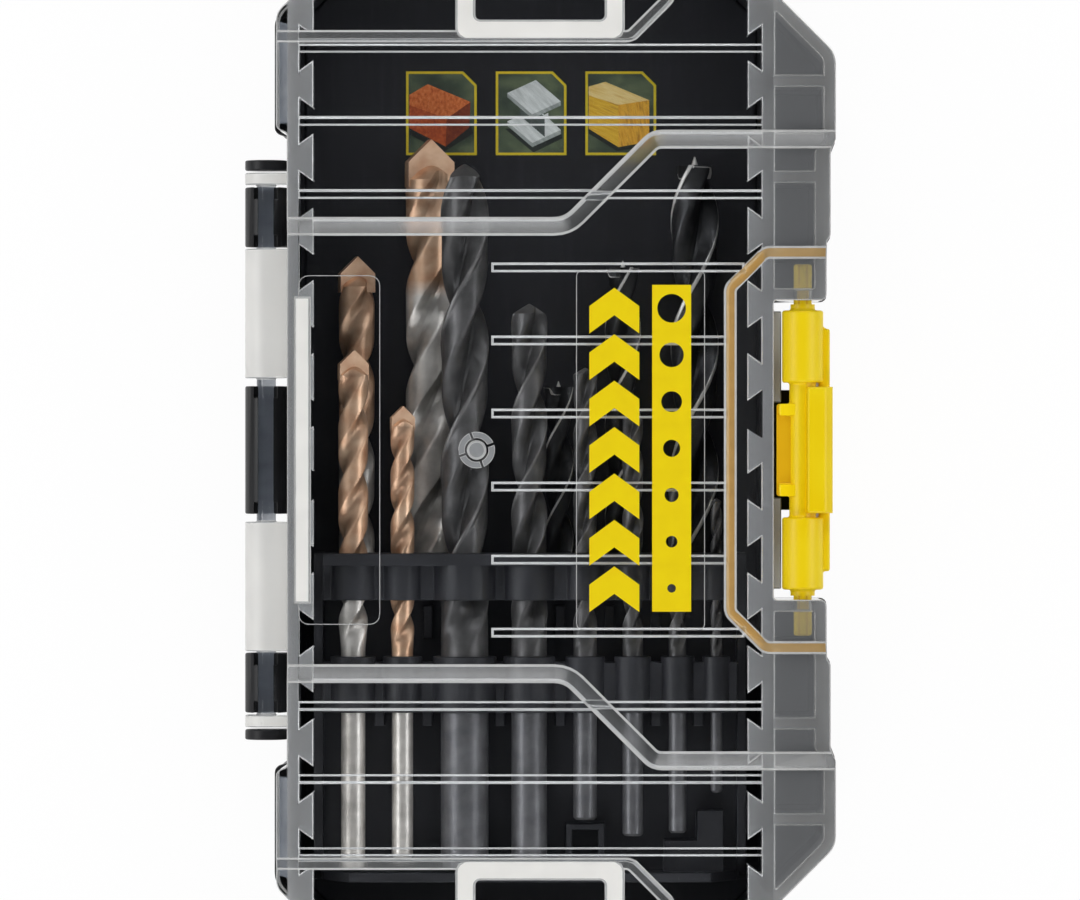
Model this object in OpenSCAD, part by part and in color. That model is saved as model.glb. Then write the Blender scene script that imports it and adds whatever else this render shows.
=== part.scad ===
// Drill bit case: a black base and a clear lid on a snap hinge, a yellow front latch,
// and a tilting rack that holds thirteen drill bits in two layers over a printed card.
// The case lies flat with its hinge at -X and its latch at +X; the bit tips point to +Y.

/* [Case] */
// Length from end wall to end wall
case_l = 168; // [160:1:190]
// Width from the hinge barrel to the front edge of the base
case_w = 98; // [94:1:112]
// Height of the base, from the table to the parting line
base_h = 20; // [19:0.5:24]
// Height of the lid above the parting line
lid_h = 18; // [17:0.5:22]
// Thickness of the moulded walls
wall = 1.8; // [1.4:0.1:2.2]
// Thickness of the base's floor
floor_t = 2; // [1.5:0.1:2.6]
// Thickness of the lid's top plate
plate_t = 2; // [1.4:0.1:2.4]
// Inside width of the hollow strip along the front
gallery_w = 8.3; // [7:0.1:9.5]
// Thickness of the ribs across the hollow strip
gallery_rib = 1.6; // [1:0.1:2.2]
// How far the base stands out beyond the lid at the front
front_lip = 0.5; // [0.2:0.1:1]
// Set-back of the front wall between its two shoulders
front_step = 0.8; // [0.4:0.1:1.4]
// Length of each front shoulder, from the end of the case
shoulder_l = 34; // [30:1:38]
// Leg of the 45 degree corners at the front
front_corner = 18.8; // [14:0.2:22]
// Leg of the 45 degree corners at the hinge side
back_corner = 12.3; // [8:0.1:15]
// Height of the rim that runs round the base below the parting line
rim_h = 3.4; // [2:0.2:5]
// How far that rim stands out from the wall below it
rim_out = 0.6; // [0.3:0.1:1]
// Thickness of the stand-off rails beside the hinge
rail_t = 1; // [0.8:0.1:1.4]
// Width of the slot between a rail and the back wall
rail_gap = 1.6; // [1.2:0.1:2]
// Length of each rail
rail_l = 19; // [14:1:22]

/* [Lid surface] */
// Depth of the sunk middle field and of the sunk ends
field_depth = 1.4; // [0.8:0.1:1.6]
// Further depth of the finger area round the latch
finger_depth = 1.4; // [0.8:0.1:1.6]
// Width of the slope round the middle field
field_slope = 2.6; // [1.5:0.1:3]
// Width of the slopes round the finger area and the ends
small_slope = 1.7; // [1:0.1:2]
// Distance from the end of the case to the middle field at the hinge side
field_back = 46; // [42:1:50]
// Distance from the end of the case to the middle field at the latch side
field_front = 31.7; // [28:0.1:36]
// Length of each sunk end
sunk_end = 17; // [14:0.5:19]
// Width of the raised U frame at each end
frame_w = 27.4; // [22:0.2:32]
// Thickness of that U frame
frame_t = 2.9; // [2:0.1:3.5]
// Pitch of the cross ribs and of the comb teeth
pitch = 12; // [10:0.5:14]
// Thickness of the cross ribs under the plate
rib_t = 1.2; // [0.8:0.1:1.6]
// Length of a comb tooth at its free face
tooth_l = 7.1; // [5:0.1:8]
// Length of a comb tooth where it meets the wall
tooth_root = 3.8; // [3:0.1:5]
// Depth of the comb teeth
tooth_d = 2.3; // [1.5:0.1:2.6]
// Width of the finger area round the latch
finger_w = 8; // [6:0.5:10]
// Leg of its 45 degree corners
finger_corner = 6.3; // [4:0.1:8]
// Width of the label recess beside the hinge
label_w = 13.3; // [10:0.1:16]
// Length of the label recess
label_l = 57.2; // [40:0.1:60]
// Width of the print recess beside the latch
print_w = 21; // [16:0.5:24]
// Length of the print recess
print_l = 59; // [40:1:62]
// Depth of the label and print recesses
recess_d = 0.25; // [0.1:0.05:0.4]

/* [Hinge] */
// Diameter of the hinge barrel
barrel_d = 7; // [6:0.1:8]
// Diameter of the lid's moulded hinge pin
hinge_pin_d = 3.2; // [2.6:0.1:3.6]
// Radial clearance of a pin in its bore
fit_gap = 0.05; // [0.02:0.01:0.08]
// Gap between moving pieces that pass each other
move_gap = 0.4; // [0.3:0.05:0.6]
// Half length of the base's middle clip
clip_mid = 10.6; // [8:0.1:11.5]
// Start of each long lid knuckle, measured from the middle
knuckle_start = 11.9; // [11.9:0.1:13]
// Length of each long lid knuckle
knuckle_l = 21.5; // [16:0.5:23]
// Length of each outer base clip
clip_l = 9.9; // [8:0.1:11]
// Length of each lid ring
ring_l = 2; // [1.5:0.1:2.5]
// Length of each base end cap
cap_l = 1.7; // [1.4:0.1:2.2]
// Width of the clips' mouth
clip_mouth = 2.6; // [2:0.1:3]

/* [Latch] */
// Width of the latch over its two barrels
latch_w = 46; // [40:1:48]
// Side gap between the latch and the blocks that hold it
latch_side = 1.6; // [1:0.1:2]
// Distance from the lid's recessed wall to the latch pin
latch_back = 4.9; // [4.7:0.1:5.2]
// Distance from the lid's top down to the latch pin
latch_drop = 7.5; // [7.3:0.1:8.5]
// Diameter of the latch barrels
latch_barrel_d = 6.8; // [6:0.1:7]
// Diameter of the latch pins
latch_pin_d = 3; // [2.6:0.1:3.4]
// Length of each latch pin
latch_pin_l = 7.6; // [6:0.1:8]
// Width of the thick grip in the middle
grip_w = 20.8; // [16:0.1:21.6]
// Thickness of the grip
grip_t = 4.2; // [3:0.1:4.4]
// Height of the grip's lower edge above the table
grip_low = 5; // [4:0.5:7]
// Width of the inward panel in the middle
panel_w = 15.2; // [12:0.2:16]
// Width of the panel's two rims
panel_rim = 1.9; // [1:0.1:2.4]
// How far the base's catch stands out
catch_out = 4.2; // [3:0.1:4.4]
// Height of the catch's edge
catch_h = 3; // [2:0.1:3.5]
// Distance from the parting line down to the catch's edge
catch_drop = 5; // [4:0.1:6]

/* [Rack] */
// Distance from the end wall to the rack's foot
rack_end = 12.4; // [11.5:0.1:14]
// Length of the rack
rack_l = 54.5; // [50:0.5:58]
// Clearance between the rack's arms and the walls
rack_side = 2.1; // [2:0.1:2.4]
// Thickness of the rack's arms and foot
arm_t = 1.6; // [1.4:0.1:2]
// Height of the lower bits' axes above the card
low_axis = 6.9; // [6.6:0.1:7.4]
// Height of the upper bits' axes above the lower ones
layer_h = 12.5; // [12.2:0.1:13.5]
// Thickness of the plate between the layers
mid_t = 1.6; // [1.2:0.1:1.8]
// Wall round a bit in its sleeve
sleeve_t = 1.3; // [1:0.1:1.4]
// Radial clearance of a shank in its sleeve
shank_gap = 0.1; // [0.05:0.05:0.2]
// Radial clearance of the flutes in the front bar
flute_gap = 0.3; // [0.2:0.1:0.5]
// Length of the front bar that guides the flutes
bar_l = 5.8; // [5:0.1:7]
// Thickness of the wall in front of that bar
flange_t = 2; // [1.4:0.1:2.4]
// Gap between the front bar and the sleeves
window_l = 10.3; // [9:0.1:11]
// Length of the sleeves that grip the shanks
sleeve_l = 8.3; // [7:0.1:9]
// Diameter of the rack's pivot pins
rack_pin_d = 3.2; // [2.6:0.1:3.6]
// Depth of the pivot pins in the base's walls
rack_pin_in = 0.9; // [0.7:0.1:1]
// Height of the front flange above the upper bits' axes
flange_rise = 5.2; // [3:0.1:5.4]
// Height of the foot above the upper bits' axes
foot_rise = 2.6; // [1:0.1:4]
// Wall of the U-shaped stop behind a short bit
stop_wall = 1; // [0.8:0.1:1.4]
// How far the stops reach to each side of a bit
stop_side = 2.2; // [1.6:0.1:2.6]
// Gap between a short bit's heel and its stop
stop_gap = 0.8; // [0.4:0.1:1.2]
// How much further the last stop reaches
stop_step = 4.9; // [3:0.1:6]

/* [Card] */
// Thickness of the printed card on the floor
card_t = 0.6; // [0.4:0.1:0.8]
// Gap round the card
card_gap = 0.4; // [0.3:0.1:0.6]

/* [Hidden] */
// Extra reach of a cut beyond the face that it opens
eps = 0.5;
// Steps of a rounded corner
corner_steps = 4;

// Across the case, from the hinge to the front
hinge_x = -case_w / 2 + barrel_d / 2;
back_x = hinge_x + barrel_d / 2 + 0.5;
back_in = back_x + wall;
base_front = case_w / 2;
lid_front = base_front - front_lip;
gallery_front = lid_front - wall;
gallery_back = gallery_front - gallery_w;
front_in = gallery_back - wall;
rail_x = back_x - rail_gap - rail_t;
// Along the case
end_y = case_l / 2;
lid_end = end_y - front_lip;
end_in = end_y - wall - front_lip;
shoulder_y = end_y - shoulder_l;
rail_end = end_y - back_corner;
front_sum = base_front + end_y - front_corner;
back_sum = rail_end - rail_x;
gallery_sum = front_sum - (front_lip + wall) * sqrt(2);
inner_corner = 9.3;
// How far a 45 degree corner shifts along its neighbours when an outline is drawn in by 1
bevel = sqrt(2) - 1;
// Up the case
top_z = base_h + lid_h;
field_z = top_z - field_depth;
finger_z = field_z - finger_depth;
rib_z = finger_z - plate_t + 0.2;
card_z = floor_t + card_t;

// Hinge: where each outer clip, lid ring and end cap starts, and the notches at a clip's ends
clip_y = knuckle_start + knuckle_l + 0.3;
ring_y = clip_y + clip_l + move_gap;
cap_y = ring_y + ring_l + move_gap;
notch_l = 2;
notch_w = 0.7;

// Latch
recess_y = latch_w / 2 + latch_side;
pivot_x = gallery_back + latch_back;
pivot_z = top_z - latch_drop;
block_wall = 1.8;
block_y = recess_y + 8.6;
catch_top = base_h - catch_drop;
catch_low = catch_top - catch_h;
grip_x = base_front - 0.8;
hook_z = catch_low - move_gap;

// Rack
rack_foot = -end_y + rack_end;
rack_head = rack_foot + rack_l;
arm_left = back_in + rack_side;
arm_right = front_in - rack_side - 0.2;
deck_left = arm_left + arm_t;
deck_right = arm_right - arm_t;
low_z = card_z + low_axis;
high_z = low_z + layer_h;
deck_z = low_z + 4.8;
rack_low = card_z + 1.6;
arm_top = base_h - 0.6;
rack_pivot_y = rack_foot + 2.6;
rack_pivot_z = rack_low + 3.8;
bar_y = rack_head - flange_t - bar_l;
sleeve_y = bar_y - window_l - sleeve_l;
deck_w = deck_right - deck_left;

// Each bit: place across the deck as a share of its width, diameter, shank diameter, heel and tip
// above the rack's foot, and kind: 0 masonry, 1 metal, 2 wood
upper_bits = [
    [0.073, 5.0, 4.0, 2.3, 88.2, 0], [0.192, 4.0, 3.5, 3.9, 78.9, 0],
    [0.342, 8.0, 7.9, 2.3, 119.1, 1], [0.498, 6.0, 5.9, 2.6, 95.9, 1],
    [0.633, 4.0, 3.9, 10.3, 85.3, 1], [0.748, 3.5, 3.4, 7.6, 77.6, 1],
    [0.856, 3.0, 2.9, 8.1, 69.1, 1], [0.950, 2.0, 1.9, 14.8, 63.6, 1]];
lower_bits = [
    [0.077, 6.0, 5.0, 4.0, 104.0, 0], [0.255, 8.0, 7.0, 3.6, 123.6, 0],
    [0.569, 5.0, 4.9, 3.3, 83.3, 2], [0.726, 6.0, 5.9, 10.5, 103.5, 2],
    [0.901, 8.0, 7.9, 4.0, 121.0, 2]];
// Centre of a bit across the case
function bit_x(b) = deck_left + b.x * deck_w;
// Helix angle of the flutes, by kind
helix = [24, 30, 30];

$fn = 48;

// ---- outlines ----

function unit(v) = v / norm(v);
function xy(p) = [p.x, p.y];
// Arc of radius r that rounds corner p between its neighbours a and b
function arc(p, a, b, r) =
    let (u = unit(a - p), v = unit(b - p), half = acos(u * v) / 2,
         c = p + unit(u + v) * r / sin(half), s = p + u * r / tan(half), e = p + v * r / tan(half),
         a0 = atan2(s.y - c.y, s.x - c.x), turn = (atan2(e.y - c.y, e.x - c.x) - a0 + 540) % 360 - 180)
    [for (i = [0:corner_steps]) let (t = a0 + turn * i / corner_steps) c + r * [cos(t), sin(t)]];
// Outline from corners [x, y, radius]
function outline(q) = [for (i = [0:len(q) - 1])
    let (n = len(q), p = q[i])
    each (p[2] > 0 ? arc(xy(p), xy(q[(i + n - 1) % n]), xy(q[(i + 1) % n]), p[2]) : [xy(p)])];
// Outline that is alike on both sides of the X axis, from its +Y half
function both_ends(h) = concat(h, [for (i = [len(h) - 1:-1:0]) [h[i].x, -h[i].y, h[i][2]]]);

// Outer outline of a half of the case, drawn in by d
function case_plan(front, end, d, rail) = both_ends([
    [gallery_back - d, recess_y + d, 0.6], [front - front_step - 0.6 - d, recess_y + d, 1],
    [front - front_step - 0.6 - d, block_y + 1, 0.5], [front - front_step - d, block_y + 2, 0.5],
    [front - front_step - d, shoulder_y - 1, 1], [front - d, shoulder_y + 1, 1],
    [front - d, front_sum - front - (base_front - front) * sqrt(2) - d * bevel, 4],
    [front_sum - end - (end_y - end) * sqrt(2) - d * bevel, end - d, 3],
    [end - back_sum + (end_y - end) * sqrt(2) + d * bevel, end - d, 3],
    [rail + d, back_sum + rail - (end_y - end) * sqrt(2) - d * bevel, 3],
    [rail + d, rail_end - rail_l, 1.2], [back_x + d, rail_end - rail_l - 0.8, 0.5]]);
// Inside of the case, the same in both halves
cavity_plan = both_ends([
    [front_in, end_in - inner_corner, 1], [front_in - inner_corner, end_in, 1],
    [back_in + inner_corner, end_in, 1], [back_in, end_in - inner_corner, 1]]);
// Hollow strip along the front, at the +Y end
gallery_plan = [
    [gallery_back, recess_y + block_wall, 0.4],
    [gallery_front - front_step - 0.6, recess_y + block_wall, 0.4],
    [gallery_front - front_step - 0.6, shoulder_y - 1, 1], [gallery_front, shoulder_y + 1, 1],
    [gallery_front, gallery_sum - gallery_front, 2], [gallery_back, gallery_sum - gallery_back, 0.3]];
gallery_ribs = [block_y - gallery_rib, block_y + 10.9, block_y + 26.6];

module both_sides() {
    children();
    mirror([0, 1, 0]) children();
}

module along_y(y0, y1) {
    translate([0, y1, 0]) rotate([90, 0, 0]) linear_extrude(y1 - y0) children();
}

module rod_y(r, x, z, y0, y1) {
    translate([x, y1, z]) rotate([90, 0, 0]) cylinder(r = r, h = y1 - y0);
}

module block(x0, x1, y0, y1, z0, z1) {
    translate([x0, y0, z0]) cube([x1 - x0, y1 - y0, z1 - z0]);
}

// Cells of the hollow strip, between its ribs, from z0 to z1
module gallery_cells(z0, z1) {
    both_sides() difference() {
        translate([0, 0, z0]) linear_extrude(z1 - z0) polygon(outline(gallery_plan));
        for (y = gallery_ribs) block(gallery_back - 1, base_front, y, y + gallery_rib, z0 - 1, z1 + 1);
    }
}

// Sunk area with sloped sides: open upwards, outer edge at z_hi, floor at z_lo. The floor is laid in
// strips between opposite points of the outline, which has an even count of points.
module basin(outer, inner, z_hi, z_lo) {
    n = len(outer);
    polyhedron(
        points = concat([for (p = outer) [p.x, p.y, z_hi + 3]], [for (p = outer) [p.x, p.y, z_hi]],
            [for (p = inner) [p.x, p.y, z_lo]]),
        faces = concat([[for (i = [n - 1:-1:0]) i]],
            [for (i = [2 * n:2.5 * n - 2]) [i, i + 1, 5 * n - 2 - i, 5 * n - 1 - i]],
            [for (k = [0, n], i = [0:n - 1]) let (j = (i + 1) % n) [i + k, j + k, j + k + n, i + k + n]]));
}

// Plan of the sunk field, drawn in by d; it runs out past both long sides
function field_plan(d) = let (far = case_w, yb = end_y - field_back, yf = end_y - field_front)
    outline(both_ends([
        [far, yf - d, 0], [4 + yf - yb + d * bevel, yf - d, 4 - d], [4 + d * bevel, yb - d, 4 + d],
        [-far, yb - d, 0]]));
// Plan of the finger area round the latch
function finger_plan(d) = let (far = case_w, x = gallery_back - finger_w, y = block_y + 0.1)
    outline(both_ends([
        [far, y - d, 0], [x + finger_corner + d * bevel, y - d, 2.6 - d],
        [x + d, y - finger_corner - d * bevel, 2.6 - d]]));
// Plan of a sunk end
function end_plan(d) = let (far = case_w, y = end_y - sunk_end, x = front_in - 14.6, cut = 6.8)
    outline([[-far, y + d, 0], [x - cut - d * bevel, y + d, 2.6 - d],
        [x - d, y + cut + d * bevel, 2.6 - d], [x - d, far, 0], [0, far, 0], [-far, far, 0]]);

// Everything above the lid's surface
module lid_relief() {
    basin(field_plan(0), field_plan(field_slope), top_z, field_z);
    basin(finger_plan(0), finger_plan(small_slope), field_z, finger_z);
    both_sides() basin(end_plan(0), end_plan(small_slope), top_z, field_z);
}

// Raised U frame at the +Y end, open towards the end
module end_frame() {
    hw = frame_w / 2;
    y = end_y - sunk_end + 0.5;
    u = [[-hw, lid_end, 0], [-hw, y, 1.6], [hw, y, 1.6], [hw, lid_end, 0],
        [hw - frame_t, lid_end, 0], [hw - frame_t, y + frame_t, 1], [frame_t - hw, y + frame_t, 1],
        [frame_t - hw, lid_end, 0]];
    translate([0, 0, field_z - 0.3]) linear_extrude(top_z - field_z + 0.3) polygon(outline(u));
}

// Dovetail tooth on a long wall; side is 1 on the hinge wall and -1 on the front wall
module tooth(x, y, side, z0, z1) {
    translate([x, y, z0]) linear_extrude(z1 - z0) polygon([
        [-side, -tooth_root / 2], [0, -tooth_root / 2], [side * tooth_d, -tooth_l / 2],
        [side * tooth_d, tooth_l / 2], [0, tooth_root / 2], [-side, tooth_root / 2]]);
}

// ---- base ----

// Barrel section with its web to the wall; up is 1 on the lid and -1 on the base
module knuckle(y0, y1, up) {
    rod_y(barrel_d / 2, hinge_x, base_h, y0, y1);
    z = base_h + up * barrel_d / 4;
    block(hinge_x, back_x + wall / 2, y0, y1, z - barrel_d / 4, z + barrel_d / 4);
}

// Bore and mouth of a snap clip, with wider notches at its ends
module clip_cut(y0, y1) {
    rod_y(hinge_pin_d / 2 + fit_gap, hinge_x, base_h, y0 - eps, y1 + eps);
    m = clip_mouth / 2;
    top = base_h + barrel_d;
    block(hinge_x - m, hinge_x + m, y0 - eps, y1 + eps, base_h, top);
    for (y = [y0 - eps, y1 - notch_l])
        block(hinge_x - m - notch_w, hinge_x + m + notch_w, y, y + notch_l + eps, base_h + 1.2, top);
}

module base_shell() color("#1c1c1e") {
    difference() {
        union() {
            linear_extrude(base_h) polygon(outline(case_plan(base_front, end_y, rim_out, rail_x)));
            translate([0, 0, base_h - rim_h]) linear_extrude(rim_h)
                polygon(outline(case_plan(base_front, end_y, 0, rail_x)));
        }
        translate([0, 0, floor_t]) linear_extrude(base_h) polygon(outline(cavity_plan));
        gallery_cells(floor_t, base_h + 1);
        both_sides() block(rail_x + rail_t, back_x, rail_end - rail_l + 1.6, rail_end - 1, -1, base_h + 1);
        for (x = [back_in - rack_pin_in - 0.1, front_in - eps])
            translate([x, rack_pivot_y, rack_pivot_z]) rotate([0, 90, 0])
                cylinder(d = rack_pin_d + 2 * fit_gap, h = rack_pin_in + 0.1 + eps);
        both_sides() for (x = [-24, 0, 24])
            block(x - 8, x + 8, end_y - rim_out - 0.6, end_y, 3, base_h - rim_h - 1.6);
    }
    difference() {
        union() {
            knuckle(-clip_mid, clip_mid, -1);
            both_sides() knuckle(clip_y, clip_y + clip_l, -1);
        }
        clip_cut(-clip_mid, clip_mid);
        both_sides() clip_cut(clip_y, clip_y + clip_l);
    }
    both_sides() knuckle(cap_y, cap_y + cap_l, -1);
    along_y(-grip_w / 2 + 0.4, grip_w / 2 - 0.4) polygon([
        [gallery_back - wall / 2, catch_low], [gallery_back + catch_out, catch_low],
        [gallery_back + catch_out, catch_top], [gallery_back, catch_top + catch_out],
        [gallery_back - wall / 2, catch_top + catch_out]]);
}

// ---- lid ----

module lid_shell() color("#c8ccd2", 0.35) {
    difference() {
        union() {
            difference() {
                translate([0, 0, base_h]) linear_extrude(lid_h)
                    polygon(outline(case_plan(lid_front, lid_end, 0, rail_x + rail_t - 0.2)));
                lid_relief();
                difference() {
                    union() {
                        translate([0, 0, base_h - 1]) linear_extrude(lid_h + 1 - plate_t)
                            polygon(outline(cavity_plan));
                        gallery_cells(base_h - 1, top_z - plate_t);
                    }
                    translate([0, 0, -plate_t]) lid_relief();
                }
            }
            both_sides() {
                knuckle(knuckle_start, knuckle_start + knuckle_l, 1);
                knuckle(ring_y, ring_y + ring_l, 1);
                end_frame();
            }
            rod_y(hinge_pin_d / 2, hinge_x, base_h, -ring_y - 1, ring_y + 1);
        }
        both_sides()
            rod_y(latch_pin_d / 2 + fit_gap, pivot_x, pivot_z, recess_y - 1, recess_y + block_wall + 0.5);
        translate([0, 0, field_z - recess_d]) linear_extrude(1) {
            shallow(back_in + 0.1, label_w, label_l, 1.6);
            shallow(front_in - 9.6 - print_w, print_w, print_l, 1);
        }
    }
    lid_ribs();
    lid_teeth();
    // raised bar beside the hinge
    block(back_x + 1.3, back_x + 3.7, -25, 25, field_z - 0.5, top_z);
    // moulding gate in its ring
    translate([-10.4, 0, field_z - 0.3]) {
        difference() {
            cylinder(d = 5.9, h = 0.6);
            translate([0, 0, 0.3]) cylinder(d = 4, h = 1);
            for (a = [0, 90, 180, 270]) rotate(a + 20) block(1, 4, -0.25, 0.25, 0.3, 1);
        }
        cylinder(d = 2.8, h = 0.8);
    }
    // ledge behind the latch
    both_sides()
        block(gallery_back - 0.5, gallery_back + 1.6, panel_w / 2 + 0.3, latch_w / 2,
            base_h, base_h + 3.5);
}

// Plan of a shallow recess with rounded corners, from x across w and along l
module shallow(x, w, l, r) {
    polygon(outline(both_ends([[x + w, l / 2, r], [x, l / 2, r]])));
}

// Thin ribs under the plate: long ones at the ends, short ones beside the finger area
module lid_ribs() {
    both_sides() {
        for (k = [3:floor((end_in - inner_corner) / pitch - 0.5)])
            rib(back_in - 0.5, front_in + 0.5, pitch * (k + 0.5));
        for (k = [0:2]) rib(-7.8, gallery_back - (k == 2 ? 5 : 8), pitch * (k + 0.5));
    }
}

module rib(x0, x1, y) {
    block(x0, x1, y - rib_t / 2, y + rib_t / 2, rib_z, field_z - 0.3);
}

module lid_teeth() {
    n = floor((end_in - inner_corner) / pitch);
    intersection() {
        for (k = [-n:n]) {
            tooth(back_in, k * pitch, 1, base_h + 0.6, field_z - 0.3);
            near = abs(k * pitch) < block_y + tooth_l;
            tooth(front_in, k * pitch, -1, base_h + 0.6, (near ? finger_z : field_z) - 0.3);
        }
        translate([0, 0, base_h]) linear_extrude(lid_h)
            polygon(outline(case_plan(lid_front, lid_end, wall / 2, rail_x + rail_t - 0.2)));
    }
}

// ---- latch ----

module latch() color("#f6d400") {
    hw = latch_w / 2;
    plate_x = pivot_x + 2.6;
    gw = grip_w / 2;
    rod_y(latch_pin_d / 2, pivot_x, pivot_z, -hw - latch_pin_l, hw + latch_pin_l);
    rod_y(2.2, pivot_x, pivot_z, -hw, hw);
    both_sides() {
        rod_y(latch_barrel_d / 2, pivot_x, pivot_z, gw + 0.7, hw);
        block(plate_x, plate_x + 1.9, 0, hw - 3, grip_low + 3, pivot_z);
        rod_y(latch_pin_d / 2 + 0.5, pivot_x, pivot_z, hw, hw + 1);
    }
    along_y(-gw, gw) polygon([
        [pivot_x, pivot_z - 2], [pivot_x + 0.7, pivot_z + 3.5], [grip_x - 1.2, pivot_z + 3.5],
        [grip_x, pivot_z + 2.3], [grip_x, grip_low + 6], [base_front, grip_low + 1.5],
        [base_front, grip_low], [base_front - 1.6, grip_low], [grip_x - grip_t + 1.2, hook_z - 3.6],
        [grip_x - grip_t, hook_z - 2.4], [grip_x - grip_t, pivot_z - 2]]);
    along_y(1 - gw, gw - 1) polygon([
        [gallery_back + catch_out - 1.4, hook_z - 0.8], [gallery_back + catch_out - 1.4, hook_z],
        [grip_x - 1, hook_z], [grip_x - 1, hook_z - 2.4], [gallery_back + catch_out, hook_z - 2.4]]);
    block(pivot_x - 4.3, pivot_x + 1, -panel_w / 2, panel_w / 2, pivot_z - 1.1, pivot_z + 0.9);
    both_sides() block(pivot_x - 4, pivot_x + 1, panel_w / 2 - panel_rim, panel_w / 2,
        pivot_z - 1.1, pivot_z + 1.8);
}

// ---- card ----

module card_insert() color("#26262c") {
    g = card_gap;
    translate([0, 0, floor_t]) linear_extrude(card_t) polygon(outline(both_ends([
        [front_in - g, end_in - inner_corner - g / 2, 0],
        [front_in - inner_corner - g / 2, end_in - g, 0],
        [back_in + inner_corner + g / 2, end_in - g, 0],
        [back_in + g, end_in - inner_corner - g / 2, 0]])));
}

// ---- rack ----

module rack_frame() color("#2a2b2f") {
    difference() {
        union() {
            block(deck_left - 0.5, deck_right + 0.5, rack_foot, rack_head, deck_z, deck_z + mid_t);
            rack_arm(arm_left);
            rack_arm(deck_right);
            rack_foot_wall();
            block(deck_left, deck_right, rack_head - flange_t, rack_head, deck_z, high_z + flange_rise);
            block(deck_left, deck_right, bar_y, rack_head, deck_z, high_z + 1.4);
            block(deck_left, deck_right, sleeve_y, sleeve_y + sleeve_l, deck_z, high_z + 1);
            for (b = upper_bits) {
                rod_y(b.y / 2 + sleeve_t, bit_x(b), high_z, bar_y, rack_head);
                rod_y(b.y / 2 + sleeve_t, bit_x(b), high_z, sleeve_y, sleeve_y + sleeve_l + 1);
            }
            rack_fillers();
        }
        for (b = upper_bits) {
            rod_y(b.y / 2 + flute_gap, bit_x(b), high_z, bar_y - eps, rack_head + eps);
            rod_y(b[2] / 2 + shank_gap, bit_x(b), high_z, sleeve_y - 4, sleeve_y + sleeve_l + 4);
        }
    }
    // pivot pins, from each arm into the wall beside it
    rack_pin(back_in - rack_pin_in, arm_left);
    rack_pin(arm_right, front_in + rack_pin_in);
}

// Side arm from x on, its top sloped at the foot so that it clears the end wall as the rack tilts
module rack_arm(x) {
    slope = arm_top - deck_z - 0.1;
    translate([x, 0, 0]) rotate([90, 0, 90]) linear_extrude(arm_t) polygon([
        [rack_foot + 1, rack_low], [rack_head, rack_low], [rack_head, arm_top],
        [rack_foot + slope, arm_top], [rack_foot + 1, deck_z + 1]]);
}

// Wall at the foot: low at the arms, and cut at its upper corners to clear the end of the case
module rack_foot_wall() {
    low = rack_low + 1.5;
    shoulder = deck_z + mid_t + 1;
    cut = 4.4;
    along_y(rack_foot, rack_foot + arm_t) polygon([
        [arm_left, low], [arm_right, low], [arm_right, deck_z - 0.3], [deck_right, deck_z - 0.3],
        [deck_right, shoulder], [deck_right - cut, high_z + foot_rise],
        [deck_left + cut, high_z + foot_rise], [deck_left, shoulder], [deck_left, deck_z - 0.3],
        [arm_left, deck_z - 0.3]]);
}

module rack_pin(x0, x1) {
    translate([x0, rack_pivot_y, rack_pivot_z]) rotate([0, 90, 0]) cylinder(d = rack_pin_d, h = x1 - x0);
}

// Small blocks between the sleeves and in the windows, and the stops behind the short bits
module rack_fillers() {
    n = len(upper_bits);
    for (i = [0:n - 2]) {
        a = bit_x(upper_bits[i]) + upper_bits[i].y / 2 + sleeve_t;
        b = bit_x(upper_bits[i + 1]) - upper_bits[i + 1].y / 2 - sleeve_t;
        c = (a + b) / 2;
        w = max(0.8, (b - a) / 2 - 0.2);
        block(c - w, c + w, sleeve_y - 2.3, sleeve_y, deck_z, high_z - 0.5);
        if (b - a > 1.4) block(c - w, c + w, bar_y - 6.5, bar_y - 1, deck_z, deck_z + mid_t + 2.2);
    }
    stop_z = high_z - 1.5;
    // U-shaped stop behind the 4 mm bit
    x4 = bit_x(upper_bits[4]);
    u_end = rack_foot + upper_bits[4][3] - stop_gap;
    u_side = stop_side + stop_wall;
    difference() {
        block(x4 - u_side, x4 + u_side, rack_foot, u_end, deck_z, stop_z);
        block(x4 - stop_side, x4 + stop_side, rack_foot - 1, u_end - stop_wall, deck_z + mid_t, stop_z + 1);
    }
    // stepped stop behind the two shortest bits
    step = rack_foot + upper_bits[5][3] - stop_gap;
    right = deck_right - stop_side;
    block(bit_x(upper_bits[6]) - stop_side, right, rack_foot, step, deck_z, stop_z);
    block(bit_x(upper_bits[7]) - u_side, right, rack_foot, step + stop_step, deck_z, stop_z);
}

// Holder of the lower layer, clipped under the deck
module lower_rack() color("#222327") {
    left = deck_left + 0.3;
    right = deck_right - 0.3;
    y0 = sleeve_y;
    y1 = rack_head - 0.5;
    difference() {
        union() {
            block(left, right, bar_y, y1, rack_low, deck_z);
            block(left, right, y0, y0 + sleeve_l, rack_low, deck_z);
            for (x = [left, right - 1.4]) block(x, x + 1.4, y0, y1, rack_low, deck_z);
        }
        for (b = lower_bits) {
            rod_y(b.y / 2 + flute_gap, bit_x(b), low_z, bar_y - eps, y1 + eps);
            rod_y(b[2] / 2 + shank_gap, bit_x(b), low_z, y0 - eps, y0 + sleeve_l + eps);
        }
    }
}

// ---- bits ----

// Section of a two-flute drill: full radius at the lands, thin web across the flutes
function flute_section(r, web, n) = [for (i = [0:n - 1])
    let (a = 360 * i / n, f = pow(abs(cos(a)), 0.55)) r * (web + (1 - web) * f) * [cos(a), sin(a)]];

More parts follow.
